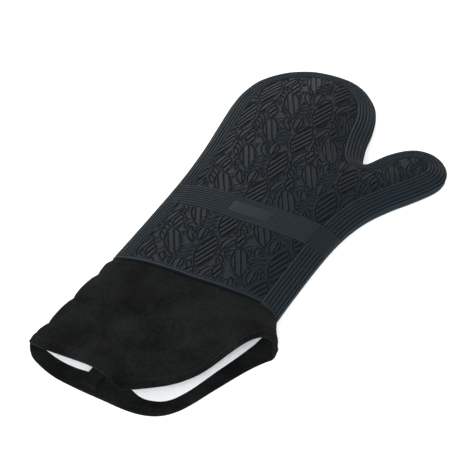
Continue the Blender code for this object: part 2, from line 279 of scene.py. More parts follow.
def outline(offset):
    """A thin raised line with a narrow groove along one side, by the signed distance from the line."""
    groove = ridge(offset - GROOVE_OFFSET, GROOVE_WIDTH / 2, EDGE_SOFTNESS)
    return LINE_RISE * ridge(offset, LINE_WIDTH / 2, EDGE_SOFTNESS) - GROOVE_DEPTH * groove


def from_lines(v, pitch):
    """Signed distance from the nearest of a row of parallel lines."""
    phase = v / pitch
    return (phase - np.round(phase)) * pitch


def slotted_leaf(u, v, length, width):
    """A leaf with deep parallel slots that slant across it, and a thin raised edge."""
    depth = lens(u, v, length, width)
    across = v * math.cos(SLOT_SLANT) - u * math.sin(SLOT_SLANT)
    slots = -SLOT_DEPTH * ridge(from_lines(across, SLOT_PITCH), SLOT_WIDTH / 2, EDGE_SOFTNESS)
    slots = slots * smoothstep(depth, LEAF_EDGE, LEAF_EDGE + LEAF_FADE)
    return np.where(depth < LEAF_EDGE, outline(depth), slots)


def celled_leaf(u, v, length, width):
    """A leaf of long flat cells, parted by veins."""
    depth = lens(u, v, length, width)
    return np.where(depth < LEAF_EDGE, outline(depth), outline(from_lines(v, CELL_PITCH)))


def leaflet(u, v, length, width):
    """A small flat leaf inside a thin raised edge."""
    return outline(lens(u, v, length, width))


def place(x, y, relief, centre, tilt, shape, length, width):
    """Presses one motif into the relief, its long axis tilted from +Y towards +X by tilt degrees."""
    reach = length + 1
    near = np.flatnonzero((np.abs(x - centre[0]) < reach) & (np.abs(y - centre[1]) < reach))
    sine, cosine = math.sin(math.radians(tilt)), math.cos(math.radians(tilt))
    dx, dy = x[near] - centre[0], y[near] - centre[1]
    u, v = dx * sine + dy * cosine, dx * cosine - dy * sine
    within = lens(u, v, length, width) > -LEAF_SKIRT
    relief[near[within]] = shape(u[within], v[within], length, width)


def spray(first, step, tilt, length, width):
    """Three leaflets, one step apart."""
    return [(first[0] + k * step[0], first[1] + k * step[1], tilt, leaflet, length, width) for k in range(3)]


def tall_cell(sway):
    """The motifs round one tall slotted leaf: each one's place, tilt, shape, half length and half width."""
    return (spray((-13.5, -9.0), (-0.9, 4.8), 57 + 3 * sway, 7.0, 2.2)
            + spray((12.0, 4.0), (0.8, -5.0), -40 + 4 * sway, 7.5, 2.3)
            + [(-12.5, 18.5, -8, celled_leaf, 10.5, 4.4),
               (9.5, 17.5, 12, celled_leaf, 11.5, 4.4),
               (-0.5, 1.5, 3 * sway - 6, slotted_leaf, 20.0, 7.8)])


def leaning_cell(sway):
    """The motifs round one leaning celled leaf."""
    return (spray((8.0, -7.0), (1.2, -4.6), 36 + 4 * sway, 7.0, 2.2)
            + [(-10.0, -14.0, -14, slotted_leaf, 10.0, 4.4),
               (7.5, 14.0, -34, celled_leaf, 10.5, 3.9),
               (-1.0, 2.0, 2 * sway - 30, celled_leaf, 19.0, 7.0)])


def leaf_pattern(x, y):
    """The moulded foliage: a ground of small leaves, and over it columns of cells with larger ones."""
    relief = np.zeros(len(x))
    for column in range(-7, 9):
        for row in range(-2, 31):
            lean = 1 if (column + row) % 2 else -1
            centre = (column * GROUND_COLUMNS + 1.5 * math.sin(2.3 * row), row * GROUND_ROWS - 3.0 * lean)
            tilt = 30 * lean + 6 * math.sin(1.7 * column + row)
            place(x, y, relief, centre, tilt, leaflet, 8.5, 2.6)
    for column in range(-4, 6):
        cell = leaning_cell if column % 2 else tall_cell
        shift = COLUMN_SHIFT if column % 4 == 2 else 0.0
        for row in range(-3, 10):
            sway = math.sin(2.1 * column + 3.7 * row)
            centre_x = FIRST_LEAF[0] + column * LEAF_COLUMNS + 0.8 * sway
            centre_y = FIRST_LEAF[1] + row * LEAF_ROWS + shift
            for dx, dy, tilt, shape, length, width in cell(sway):
                place(x, y, relief, (centre_x + dx, centre_y + dy), tilt, shape, length, width)
    return relief


def band_mask(y):
    return between(y, *BAND, 0.5, 0.3)


def band_ridges(x, y):
    """Fine ridges across the mitt, interrupted by a smooth plate."""
    phase = (y - BAND[0]) / BAND_PITCH
    ridges = (BAND_RIDGE + VALLEY) * np.abs(np.sin(np.pi * phase)) ** 0.55 - VALLEY
    left, right, low, high = PLATE
    plate = between(x, left, right, 0.4, 0.4) * between(y, low, high, 0.3, 0.3)
    return (ridges * (1 - plate) + PLATE_RISE * plate) * band_mask(y)


def lip(y):
    low, high, rise = LIP
    return rise * smoothstep(y, low - 0.2, low + 0.5) * (1 - smoothstep(y, high - 0.4, high + 0.3))


def rim_relief(s, x, y):
    """Ribs that follow the outline, and the thin line that frames the pattern."""
    phase = (FRAME_LINE - s) / RIB_PITCH
    ribs = (RIB_HEIGHT + VALLEY) * np.abs(np.cos(np.pi * phase)) ** 0.6 - VALLEY
    ribs *= smoothstep(FRAME_LINE + 0.9 - s, 0, 0.9) * smoothstep(s, 0.0, 1.2)
    free = (1 - band_mask(y)) * smoothstep(y, LIP[1], LIP[1] + 0.6)
    return ribs * free + band_ridges(x, y) + lip(y)


def inner_relief(x, y):
    """The foliage inside the frame line, the band and the lip."""
    from_frame = np.minimum(DISTANCE.at(x, y) - STRIP_REACH + 1.0, 3)
    beside_band = between(y, BAND[0] - BAND_MARGIN, BAND[1] + BAND_MARGIN, 0.7, 0.0)
    above_frame = smoothstep(y, PATTERN_START - 0.4, PATTERN_START + 0.3)
    free = smoothstep(from_frame, 0, 0.6) * (1 - beside_band) * above_frame
    frame_bottom = FRAME_BOTTOM * ridge(y - PATTERN_START + 0.6, 0.3, 0.5)
    return leaf_pattern(x, y) * free + frame_bottom + band_ridges(x, y) + lip(y)


def lift(x, y):
    """The moulding leans: across the forearm it runs further towards the fingers on the thumb side."""
    return np.interp(x, LEAN_PLACES, LEAN) * (1 - smoothstep(y, *LEAN_FADE))


# ---------------------------------------------------------------- meshes

def lattice_faces(rows, columns):
    """Quads between rows and columns of points that are numbered row by row."""
    faces = []
    for row in range(rows - 1):
        for corner in range(row * columns, (row + 1) * columns - 1):
            faces.append((corner, corner + columns, corner + columns + 1, corner + 1))
    return faces


def rim_columns(line, normals, reach, spacing, finer):
    """Indices along the outline that are about spacing apart both on it and on its inner copy."""
    outer = np.linalg.norm(np.diff(line, axis=0), axis=1)
    inner = np.linalg.norm(np.diff(line + normals * reach, axis=0), axis=1)
    y = line[1:, 1]
    closer = ((y > BAND[0] - CLOSER_MARGIN) & (y < BAND[1] + CLOSER_MARGIN)) | (y < CLOSER_TOP)
    walked = np.concatenate([[0], np.cumsum(np.maximum(outer, inner) * np.where(closer, finer, 1.0))])
    count = int(walked[-1] / spacing)
    return np.unique(np.searchsorted(walked, np.linspace(0, walked[-1] - 1e-6, count)))


def face_grid(border, spacing):
    """A square grid over the space inside the border, and which of its points are kept: those clear of it."""
    columns = np.arange(math.ceil(border[:, 0].min() / spacing), math.floor(border[:, 0].max() / spacing) + 1)
    levels = np.arange(0, math.floor(border[:, 1].max() / spacing) + 1)
    grid_x, grid_y = np.meshgrid(columns * spacing, levels * spacing)
    kept = inside(np.vstack([border, border[:1]]), grid_x, grid_y + 1e-6)
    kept &= DISTANCE.at(grid_x, grid_y) > STRIP_REACH + BORDER_CLEARANCE * spacing
    gap = SEAM_CLEARANCE * spacing
    kept[0] = (grid_x[0] > border[0, 0] + gap) & (grid_x[0] < border[-1, 0] - gap)
    return grid_x, grid_y, kept


def gap_faces(border, border_ids, grid_x, grid_y, ids, full, spacing):
    """Triangles that fill the narrow gap between the border and the full squares of the grid."""
    used = np.pad(full, 1)
    squares_round = used[:-1, :-1].astype(int) + used[1:, :-1] + used[:-1, 1:] + used[1:, 1:]
    ring = (ids >= 0) & (squares_round < 4)
    number = {spot: len(border) + k for k, spot in enumerate(zip(*np.nonzero(ring)))}
    edges = [(i, i + 1) for i in range(len(border) - 1)]
    for (j, i), k in number.items():
        beside, above = number.get((j, i + 1)), number.get((j + 1, i))
        if beside is not None and used[j, i + 1] != used[j + 1, i + 1]:
            edges.append((k, beside))
        if above is not None and used[j + 1, i] != used[j + 1, i + 1]:
            edges.append((k, above))
    points = np.vstack([border, np.stack([grid_x[ring], grid_y[ring]], axis=1)])
    made, _, triangles, sources, _, _ = delaunay_2d_cdt([Vector(p) for p in points], edges, [], 0, 1e-5)
    real = border_ids + ids[ring].tolist()
    lookup = [real[source[0]] if source else None for source in sources]
    polygon = np.vstack([border, [[border[-1, 0], 0.0], [border[0, 0], 0.0]]])
    centres = np.array([np.mean([made[i] for i in t], axis=0) for t in triangles])
    column = np.floor(centres[:, 0] / spacing).astype(int) - round(grid_x[0, 0] / spacing)
    row = np.floor(centres[:, 1] / spacing).astype(int)
    in_square = full[np.clip(row, 0, full.shape[0] - 1), np.clip(column, 0, full.shape[1] - 1)]
    faces = []
    for keep, triangle in zip(inside(polygon, centres[:, 0], centres[:, 1]) & ~in_square, triangles):
        corners = [lookup[i] for i in triangle]
        if keep and None not in corners:
            faces.append(tuple(corners))
    return faces


def half_layout(spacing, row_step, column_step, finer):
    """Plan, section coordinate and faces of one half: a strip of rows along the rim and a grid inside it."""
    picks = rim_columns(SKIN_LINE, SKIN_NORMALS, STRIP_REACH, column_step, finer)
    rim, normals = SKIN_LINE[picks], SKIN_NORMALS[picks]
    rows = np.linspace(0, STRIP_END, int(round(STRIP_END / row_step)) + 1)
    count = len(rim)
    strip_size = len(rows) * count
    faces = [(a, d, c, b) for a, b, c, d in lattice_faces(len(rows), count)]
    border = rim + normals * STRIP_REACH
    border_ids = list(range(strip_size - count, strip_size))
    grid_x, grid_y, kept = face_grid(border, spacing)
    ids = np.full(kept.shape, -1)
    ids[kept] = strip_size + np.arange(kept.sum())
    full = kept[:-1, :-1] & kept[1:, :-1] & kept[:-1, 1:] & kept[1:, 1:]
    corners = (ids[:-1, :-1], ids[:-1, 1:], ids[1:, 1:], ids[1:, :-1])
    faces += list(zip(*[corner[full].tolist() for corner in corners]))
    faces += gap_faces(border, border_ids, grid_x, grid_y, ids, full, spacing)
    first_column = list(range(0, strip_size, count))
    last_column = list(range(count - 1, strip_size, count))
    return {"s": np.repeat(rows, count), "rim": np.tile(rim, (len(rows), 1)),
            "normal": np.tile(normals, (len(rows), 1)),
            "inner": np.stack([grid_x[kept], grid_y[kept]], axis=1), "faces": faces,
            "bottom": first_column + ids[0][kept[0]].tolist() + last_column[::-1], "edge": list(range(count))}


def plan_points(layout):
    """Where the points of one half lie in plan, before the moulding leans."""
    s = layout["s"]
    inset = WALL * (1 - np.cos(np.clip(s / WALL, 0, math.pi / 2))) + np.maximum(s - WALL_ARC, 0)
    return np.vstack([layout["rim"] + layout["normal"] * inset[:, None], layout["inner"]])


def skin_relief(layout):
    """Height of the moulded relief at each point of one half."""
    plan = plan_points(layout)
    strip = len(layout["s"])
    return np.concatenate([rim_relief(layout["s"], plan[:strip, 0], plan[:strip, 1]),
                           inner_relief(plan[strip:, 0], plan[strip:, 1])])


def half_points(layout, side, depth, relief=0.0):
    """Where the points of one half lie at a depth under the outer surface, with a relief added to it."""
    s, normal, inner = layout["s"], layout["normal"], layout["inner"]
    angle = np.clip(s / WALL, 0, math.pi / 2)
    plan = plan_points(layout)
    # near the seam the moulding's lean grows with the way up the side wall
    slide = np.concatenate([smoothstep(s, -2, 13), np.ones(len(inner))])
    slide = np.where(plan[:, 1] > 30, 1.0, slide)
    moved_y = plan[:, 1] + lift(plan[:, 0], plan[:, 1]) * slide
    swell = DOME.at(plan[:, 0], moved_y) if side > 0 else 0.0
    sine = np.concatenate([np.sin(angle), np.ones(len(inner))])
    cosine = np.concatenate([np.cos(angle), np.zeros(len(inner))])
    across = np.vstack([normal, np.zeros((len(inner), 2))])
    out = relief - depth
    x = plan[:, 0] - across[:, 0] * cosine * out
    y = moved_y - across[:, 1] * cosine * out
    z = PARTING_Z + side * (PARTING_GAP + (WALL - PARTING_GAP + swell + out) * sine)
    return np.stack([x, y, z], axis=1)


def vertex_normals(points, faces):
    """Area-weighted normals of all points."""
    normals = np.zeros_like(points)
    for size in (3, 4):
        group = np.array([f for f in faces if len(f) == size])
        if len(group) == 0:
            continue
        # two sides of a triangle, or the two diagonals of a quad
        cross = np.cross(points[group[:, size - 2]] - points[group[:, 0]],
                         points[group[:, size - 1]] - points[group[:, size - 3]])
        for corner in range(size):
            for axis in range(3):
                normals[:, axis] += np.bincount(group[:, corner], cross[:, axis], len(points))
    return normals / np.maximum(np.linalg.norm(normals, axis=1), 1e-12)[:, None]


def add_mesh(name, points, faces, look, normals=None, relief=None):
    """Makes a smooth-shaded mesh object from frame coordinates, dropping the points that it doesn't use."""
    used = np.unique(np.fromiter((i for f in faces for i in f), int))
    new = np.full(len(points), -1)
    new[used] = np.arange(len(used))
    mesh = bpy.data.meshes.new(name)
    mesh.from_pydata(points[used].tolist(), [], [new[list(f)].tolist() for f in faces])
    mesh.polygons.foreach_set("use_smooth", np.ones(len(mesh.polygons), bool))
    if normals is not None:
        mesh.normals_split_custom_set_from_vertices(normals[used].tolist())
    if relief is not None:
        # the relief's height, from which the silicone's material paints shade into the grooves and a
        # highlight onto the raised lines
        heights = mesh.attributes.new("relief", "FLOAT", "POINT")
        heights.data.foreach_set("value", relief[used].astype(np.float32))
    mesh.materials.append(look)
    made = bpy.data.objects.new(name, mesh)
    bpy.context.scene.collection.objects.link(made)
    return made


def split_at_folds(points_mm, faces):
    """Faces of the fingers, and faces of the hand and thumb."""
    centres = np.array([points_mm[list(f)].mean(axis=0)[:2] for f in faces])
    fingers = (centres[:, 1] > FINGER_FOLD[0]) & (centres[:, 0] < CROTCH_X)
    return ([f for f, is_finger in zip(faces, fingers) if is_finger],
            [f for f, is_finger in zip(faces, fingers) if not is_finger])


def finger_blend(piece):
    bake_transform(piece)


def thumb_blend(piece):
    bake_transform(piece)


def add_half(label, side_name, layer, points_mm, parts, look, relief=None):
    """Two pieces for one half, from the faces of its fingers and of its hand."""
    points = to_frame(points_mm)
    finger_faces, hand_faces = parts
    normals = vertex_normals(points, list(finger_faces) + list(hand_faces))
    hand = add_mesh(f"{label}_{side_name}_hand", points, hand_faces, look, normals, relief)
    thumb_blend(hand)
    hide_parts(*[f"{side_name}_{layer}_{part}" for part in ("hand", "thumb", "thumb_bend")])
    fingers = add_mesh(f"{label}_{side_name}_fingers", points, finger_faces, look, normals, relief)
    finger_blend(fingers)
    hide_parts(*[f"{side_name}_{layer}_{part}" for part in ("fingers", "finger_bend")])
    return hand, fingers


def build_skin(side_name, side, mesh_steps, look):
    """One moulded silicone skin with its relief, its rolled edge along the joint and its end at the seam."""
    layout = half_layout(*mesh_steps)
    relief = skin_relief(layout)
    # the back lies on its ribs, so its surface is sunk by their height
    lowered = 0.0 if side > 0 else RIB_HEIGHT
    points = half_points(layout, side, 0.0, relief - lowered)
    inward = half_points(layout, side, 1.0) - half_points(layout, side, 0.0)
    faces = list(layout["faces"])
    mirror = np.array([1, 1, side])
    for chain, turn, flip in ((layout["edge"], JOINT_TURN, 1), (layout["bottom"], SEAM_TURN, -1)):
        previous = list(chain)
        for step, depth in turn:
            row = points[chain] + mirror * step + inward[chain] * depth
            ids = list(range(len(points), len(points) + len(chain)))
            points = np.vstack([points, row])
            for k in range(len(chain) - 1):
                faces.append((previous[k], ids[k], ids[k + 1], previous[k + 1])[::flip])
            previous = ids
    if side < 0:
        faces = [f[::-1] for f in faces]
    relief = np.pad(relief, (0, len(points) - len(relief)))
    add_half("silicone", side_name, "skin", points, split_at_folds(points, faces), look, relief)


def closed(faces, count):
    """A surface, its copy count points further on, and a rim that joins the two."""
    edges = dict.fromkeys((a, b) for face in faces for a, b in zip(face, face[1:] + face[:1]))
    rim = [(b, a, a + count, b + count) for a, b in edges if (b, a) not in edges]
    return faces + [tuple(i + count for i in reversed(face)) for face in faces] + rim


def build_layer(label, side_name, side, depths, look, start_y):
    """A closed soft layer between two depths below the outer surface, in its hand and its fingers piece."""
    layout = half_layout(*SOFT_MESH)
    outer = half_points(layout, side, depths[0])
    inner = half_points(layout, side, depths[1])
    faces = [f if side > 0 else f[::-1] for f in layout["faces"]]
    kept = [f for f in faces if outer[list(f)][:, 1].min() >= start_y]
    parts = [closed(part, len(outer)) for part in split_at_folds(outer, kept)]
    return add_half(label, side_name, label, np.vstack([outer, inner]), parts, look)


# ---------------------------------------------------------------- materials

class Look:
    """A material that is built up node by node, with its textures in the object's own coordinates."""

    def __init__(self, name, **values):
        self.material = bpy.data.materials.new(name)
        self.material.use_nodes = True
        self.shader = self.material.node_tree.nodes["Principled BSDF"]
        self.position = None
        self.set(self.shader, **values)

    def set(self, node, **values):
        for key, value in values.items():
            node.inputs[key.replace("_", " ")].default_value = value

    def node(self, kind, **values):
        made = self.material.node_tree.nodes.new(kind)
        self.set(made, **values)
        return made

    def link(self, value, node, socket):
        self.material.node_tree.links.new(value, node.inputs[socket])

    def texture(self, kind, output="Fac", **values):
        if self.position is None:
            self.position = self.node("ShaderNodeTexCoord").outputs["Object"]
        node = self.node(kind, **values)
        self.link(self.position, node, "Vector")
        return node.outputs[output]

    def noise(self, scale, detail, roughness):
        return self.texture("ShaderNodeTexNoise", Scale=scale, Detail=detail, Roughness=roughness)

    def weave(self, scale):
        """A plain weave: two sets of threads that cross, with a little unevenness."""
        waves = []
        for direction in ("X", "Y"):
            wave = self.texture("ShaderNodeTexWave", Scale=scale, Distortion=0.6, Detail=1.0,
                                Detail_Scale=3.0)
            wave.node.bands_direction = direction
            waves.append(wave)
        return self.combined("MULTIPLY", *waves)

    def combined(self, operation, first, second):
        """Two values added or multiplied."""
        node = self.node("ShaderNodeMath")
        node.operation = operation
        self.link(first, node, 0)
        self.link(second, node, 1)
        return node.outputs["Value"]

    def mapped(self, value, low, high, to_low=0.0, to_high=1.0):
        """A value stretched from one range to another."""
        node = self.node("ShaderNodeMapRange", From_Min=low, From_Max=high, To_Min=to_low, To_Max=to_high)
        self.link(value, node, "Value")
        return node.outputs["Result"]

    def colour(self, factor, dark, light):
        """Colours the surface between two tones by a factor from 0 to 1."""
        mix = self.node("ShaderNodeMix")
        mix.data_type = "RGBA"
        self.set(mix, A=(*dark, 1), B=(*light, 1))
        self.link(factor, mix, "Factor")
        self.link(mix.outputs["Result"], self.shader, "Base Color")

    def bump(self, height, strength, distance):
        """Fine unevenness of the surface, from a height between 0 and 1."""
        node = self.node("ShaderNodeBump", Strength=strength, Distance=distance)
        self.link(height, node, "Height")
        self.link(node.outputs["Normal"], self.shader, "Normal")


def silicone_material():
    """Matte moulded silicone: fine grain, uneven gloss, and painted shade in the relief's grooves with a
    painted highlight on its raised lines.
    """
    look = Look("moulded_silicone", Base_Color=(0.006, 0.011, 0.016, 1), Roughness=0.5,
                Specular_IOR_Level=0.165)
    grain = look.noise(1600.0, 3.0, 0.6)
    cloud = look.noise(28.0, 4.0, 0.55)
    relief = look.node("ShaderNodeAttribute")
    relief.attribute_name = "relief"
    # painted shade and highlight: the colour darkens down into the relief's grooves and lightens up onto its
    # raised lines
    painted_shade_and_highlight = look.mapped(relief.outputs["Fac"], -0.6, 0.65)
    mottle = look.mapped(cloud, 0.3, 0.7, 0.0, 0.1)
    tone = look.combined("ADD", painted_shade_and_highlight, mottle)
    # dark tone: painted shade in the grooves; light tone: painted highlight on the raised lines; the random
    # mottle is added on top
    look.colour(tone, (0.0003, 0.0006, 0.0010), (0.0104, 0.0188, 0.0255))
    look.link(look.mapped(cloud, 0.3, 0.7, 0.52, 0.62), look.shader, "Roughness")
    look.bump(grain, 0.25, 0.00008)
    return look.material


def canvas_material():
    """Black cotton canvas with a visible weave, lint and slightly washed-out high spots."""
    look = Look("black_canvas", Base_Color=(0.0055, 0.006, 0.006, 1), Roughness=0.95, Specular_IOR_Level=0.06,
                Sheen_Weight=0.02, Sheen_Roughness=0.5)
    weave = look.weave(330.0)
    lint = look.noise(420.0, 5.0, 0.8)
    cloud = look.noise(30.0, 3.0, 0.6)
    tone = look.mapped(look.combined("MULTIPLY", lint, cloud), 0.16, 0.34)
    look.colour(tone, (0.0018, 0.0023, 0.0021), (0.0108, 0.0126, 0.0118))
    look.bump(look.combined("ADD", weave, lint), 0.7, 0.00025)
    return look.material


def terry_material():
    """White brushed terry: short loops with soft shading between them."""
    look = Look("white_terry", Base_Color=(0.86, 0.86, 0.85, 1), Roughness=0.95, Specular_IOR_Level=0.2,
                Sheen_Weight=0.2)
    loops = look.texture("ShaderNodeTexVoronoi", "Distance", Scale=900.0)
    look.colour(look.noise(120.0, 4.0, 0.6), (0.90, 0.91, 0.94), (0.95, 0.96, 0.99))
    look.bump(loops, 0.6, 0.0005)
    return look.material


def wadding_material():
    """Off-white cotton wadding."""
    look = Look("cotton_wadding", Base_Color=(0.75, 0.74, 0.70, 1), Roughness=0.95, Specular_IOR_Level=0.2)
    fibre = look.noise(260.0, 6.0, 0.75)
    look.colour(fibre, (0.66, 0.65, 0.61), (0.80, 0.79, 0.75))
    look.bump(fibre, 0.6, 0.0006)
    return look.material


def thread_material():
    """Black twisted thread."""
    look = Look("black_thread", Base_Color=(0.011, 0.012, 0.012, 1), Roughness=0.8, Specular_IOR_Level=0.15)
    look.bump(look.texture("ShaderNodeTexWave", Scale=500.0, Distortion=0.3), 0.5, 0.0001)
    return look.material


# ---------------------------------------------------------------- cuff

# The mouth's edge of each layer, from its left end to its right end, in millimetres. Each row has a point of
# the edge in x, y and z, and the point of the seam that the canvas there hangs from. On the face that is its
# x, on the left or the right side wall it is the distance round the wall from the joint.
PALM_MOUTH = [
    (-74, -96, 6.6, "left", 0), (-72.6, -98.6, 9.6, "left", 5), (-66.5, -101, 11.6, "left", 9.5),
    (-56, -102, 13.4, "face", -54), (-38, -103.4, 16.6, "face", -40), (-20, -104.8, 19.6, "face", -25),
    (-8, -107.4, 21, "face", -14), (3, -111, 20.2, "face", -5), (9.6, -112.6, 18.2, "face", 1.5),
    (13.6, -109.4, 16.8, "face", 7), (20.4, -104.8, 16.8, "face", 13.5), (28, -99.8, 17.6, "face", 20),
    (36, -94.2, 18.6, "face", 27), (44, -86.4, 19.8, "face", 34), (51.8, -74.6, 21.4, "face", 41),
    (61.2, -51.2, 24, "face", 49), (67.2, -34.8, 22.8, "face", 54), (71.6, -24.6, 18.6, "face", 58.5),
    (76.2, -20.4, 12.6, "right", 5), (78, -20.6, 7, "right", 0)]
BACK_MOUTH = [
    (-74, -96, 6.6, "left", 0), (-73.2, -98, 3.8, "left", 5), (-70, -101.6, 1.7, "left", 9.5),
    (-63, -106.6, 1.3, "face", -56), (-45, -112.6, 1.2, "face", -42), (-24, -114.6, 1.2, "face", -25),
    (-4, -115, 1.2, "face", -8), (15.5, -115.2, 1.2, "face", 8), (29, -113, 1.2, "face", 19),
    (39.4, -107.6, 1.2, "face", 27), (47, -98.6, 1.2, "face", 33), (52.3, -87.4, 1.2, "face", 38),
    (57.3, -73.4, 1.2, "face", 43), (63.3, -57, 1.3, "face", 48), (69.6, -41.4, 1.4, "face", 53),
    (75.4, -29.8, 1.8, "face", 58), (78, -24.6, 3.6, "right", 5), (78, -20.6, 7, "right", 0)]
MOUTH_SAMPLES = 24  # samples between two rows of these tables
CUFF_MESH = {1: (300, 150), -1: (220, 70)}  # columns and rows of each panel's points
CUFF_TOP_Y = 6.0  # the canvas reaches this far up inside the silicone
CUFF_TOP_DEPTH = 2.5
CANVAS_CLEARANCE = 1.0  # least height of the lower panel over the ground
HEM_CLEARANCE = 0.7
# Width of the canvas turned to the inside of the mouth, by place across the mouth
HEM_PLACES = (-70, -30, -10, 0, 10, 20, 38, 55, 64, 72, 78)
HEM_WIDTHS = {1: (13, 13, 13, 13, 13, 13, 13, 13, 13, 14, 17),
              -1: (12, 16, 21, 22, 19, 14, 14, 24, 23, 24, 30)}
HEM_SMOOTHING = 6  # columns to either side that the width is evened out over
HEM_RADIUS = 0.9
HEM_ROLL_ANGLES = np.radians(np.linspace(20, 160, 8))
HEM_ROWS = 14
HEM_TUCK = 0.8
LINING_ROWS = 60
LINING_OVERLAP = 1.5  # the lining starts this far under the turned canvas
LINING_GAP = 0.1
LINING_DROP = 0.8  # it sinks by this much more over its first eighth
STITCH_INSET = 9.5
STITCH_PITCH = 3.0
STITCH_LENGTH = 2.3
THREAD_RADIUS = 0.28
THREAD_SIDES = 6
THREAD_STATIONS = 7  # rings of points along one stitch
PUCKER = 5.5  # pitch of the small puckers between the mouth's edge and its stitches
PUCKER_HEIGHT = {1: 0.25, -1: 0.6}
HEM_PUFF = 0.55
HEM_GROOVE = 0.8

# Soft folds of the palm's canvas: from, to, width and height, millimetres
FOLDS = [((-50, -61), (-20, -80), 7, -1.3), ((-14, -46), (22, -73), 8, -1.5), ((-12, -16), (31, -43), 9, 1.3),
         ((-36, -36), (-8, -66), 8, 1.2), ((24, -70), (44, -40), 6, 1.1), ((40, -12), (66, -20), 5, 0.9),
         ((-67, -20), (-46, -24), 2.6, -1), ((-68, -49), (-48, -54), 2.6, -1),
         ((-70, -77), (-54, -80), 2.6, -0.8)]
SIDE_BULGE = 2.2  # the left edge swells between three creases
SIDE_BULGE_WIDTH = 13.0
SIDE_CREASE_Y = -19.0
SIDE_CREASE_PITCH = 29.0

# The hanging loop's tape, millimetres
TAPE_THICKNESS = 0.55
TAPE_WIDENING = 1.15  # the CAD's loop is this much narrower
TAPE_TURN = (1.2, 1.0, 0.8)  # start of the turn before the loop's end, and its reach along and up
TAPE_LAYERS = ((0.2, 0.25), (1.9, 0.5))  # the two layers' heights at their ends, and how far they arch
TAPE_FLATNESS = 0.8
TAPE_EDGE = 0.006  # unevenness across the tape


def seam_point(side, kind, place_on_seam):
    """A point of the canvas under the silicone's lower edge."""
    if kind == "face":
        x, sine, cosine = place_on_seam, 1.0, 0.0
    else:
        sine, cosine = math.sin(place_on_seam / WALL), math.cos(place_on_seam / WALL)
        inset = WALL * (1 - cosine)
        x = SEAM_ENDS[0][0] + inset if kind == "left" else SEAM_ENDS[1][0] - inset
    y = CUFF_TOP_Y + lift(x, CUFF_TOP_Y) * (0.3 + 0.7 * sine)
    swell = DOME.at(x, y) if side > 0 else 0.0
    toward_middle = 1 if kind == "left" else -1
    return np.array([x + toward_middle * cosine * CUFF_TOP_DEPTH, y,
                     PARTING_Z + side * sine * (WALL + swell - CUFF_TOP_DEPTH)])


def fold_height(side, x, y):
    """Height of the canvas's soft folds, millimetres. The back's canvas lies flat on the ground."""
    height = np.zeros(x.shape)
    if side < 0:
        return height
    for (x0, y0), (x1, y1), width, rise in FOLDS:
        length = math.hypot(x1 - x0, y1 - y0)
        ux, uy = (x1 - x0) / length, (y1 - y0) / length
        along = (x - x0) * ux + (y - y0) * uy
        across = (y - y0) * ux - (x - x0) * uy + 1.5 * np.sin(along / 11.0 + x0)
        ends = smoothstep(along, -6, 8) * (1 - smoothstep(along, length - 10, length + 8))
        height += rise * ends * np.exp(-(across / width) ** 2)
    return height


def side_bulge(surface):
    """How far the canvas stands out along its left edge, between the creases."""
    y = surface[..., 1]
    from_edge = surface[..., 0] - surface[:, :1, 0]
    swell = np.abs(np.sin(np.pi * (y - SIDE_CREASE_Y) / SIDE_CREASE_PITCH)) ** 0.5
    ends = smoothstep(-y, 1, 9) * (1 - 0.75 * smoothstep(-y, 84, 96))
    return SIDE_BULGE * swell * ends * np.exp(-(from_edge / SIDE_BULGE_WIDTH) ** 2)


def walked_length(line):
    """Distance walked along a line of points, from 0 at the first."""
    return np.concatenate([[0], np.cumsum(np.linalg.norm(np.diff(line, axis=0), axis=1))])


def mouth_columns(side, count):
    """Matching points along the seam and along the mouth, from the left end to the right end."""
    table = PALM_MOUTH if side > 0 else BACK_MOUTH
    pairs = [np.concatenate([point, seam_point(side, kind, at)]) for *point, kind, at in table]
    dense = smooth_curve(pairs, [MOUTH_SAMPLES] * (len(table) - 1))
    length = walked_length(dense[:, :3]) + 0.5 * walked_length(dense[:, 3:])
    wanted = np.linspace(0, length[-1], count)
    picked = np.stack([np.interp(wanted, length, values) for values in dense.T], axis=1)
    return picked[:, 3:], picked[:, :3]


def from_side(surface):
    """Distance of every point of the canvas from the panel's nearer side edge."""
    left = np.linalg.norm(surface - surface[:, :1], axis=2)
    right = np.linalg.norm(surface - surface[:, -1:], axis=2)
    return np.minimum(left, right)


def grid_normals(surface, side):
    """Outward normals of a panel, turned level along its side edges, where the palm and the back meet."""
    down = np.gradient(surface, axis=0)
    across = np.gradient(surface, axis=1)
    normals = np.cross(down, across) * side
    normals /= np.maximum(np.linalg.norm(normals, axis=2), 1e-9)[..., None]
    normals[..., 2] *= smoothstep(from_side(surface), 0, 5)
    return normals / np.linalg.norm(normals, axis=2)[..., None]


def cuff_surface(side, columns, rows):
    """The canvas from the seam to the mouth: an array of rows by columns of points."""
    top, mouth = mouth_columns(side, columns)
    reach = mouth - top
    span = np.linalg.norm(reach, axis=1)[:, None]
    first = top + np.array([0, -1, 0]) * span / 3
    last = mouth - reach / 3
    v = np.linspace(0, 1, rows)[:, None, None]
    w = 1 - v
    surface = w ** 3 * top + 3 * w ** 2 * v * first + 3 * w * v ** 2 * last + v ** 3 * mouth
    # just below the lip the canvas comes back out to the silicone's level
    below = top[:, 1] - CUFF_TOP_Y - surface[..., 1]
    swell = CUFF_TOP_DEPTH * smoothstep(below, -0.4, 2.4) * (1 - smoothstep(below, 30, 80))
    normals = grid_normals(surface, side)
    surface = surface + normals * swell[..., None]
    surface = surface + side_bulge(surface)[..., None] * np.array([-1, 0, 0])
    fade = smoothstep(below, 2, 12) * (1 - 0.7 * smoothstep(v[..., 0], 0.93, 1.0))
    fade *= smoothstep(from_side(surface), 0, 4)
    surface = surface + normals * (fold_height(side, surface[..., 0], surface[..., 1]) * fade)[..., None]
    if side < 0:
        surface[..., 2] = np.maximum(surface[..., 2], CANVAS_CLEARANCE)
    return surface


def from_mouth(surface):
    """Distance of every point of the canvas from the mouth, along its column."""
    steps = np.linalg.norm(np.diff(surface[::-1], axis=0), axis=2)
    return np.vstack([np.zeros(surface.shape[1]), np.cumsum(steps, axis=0)])[::-1]


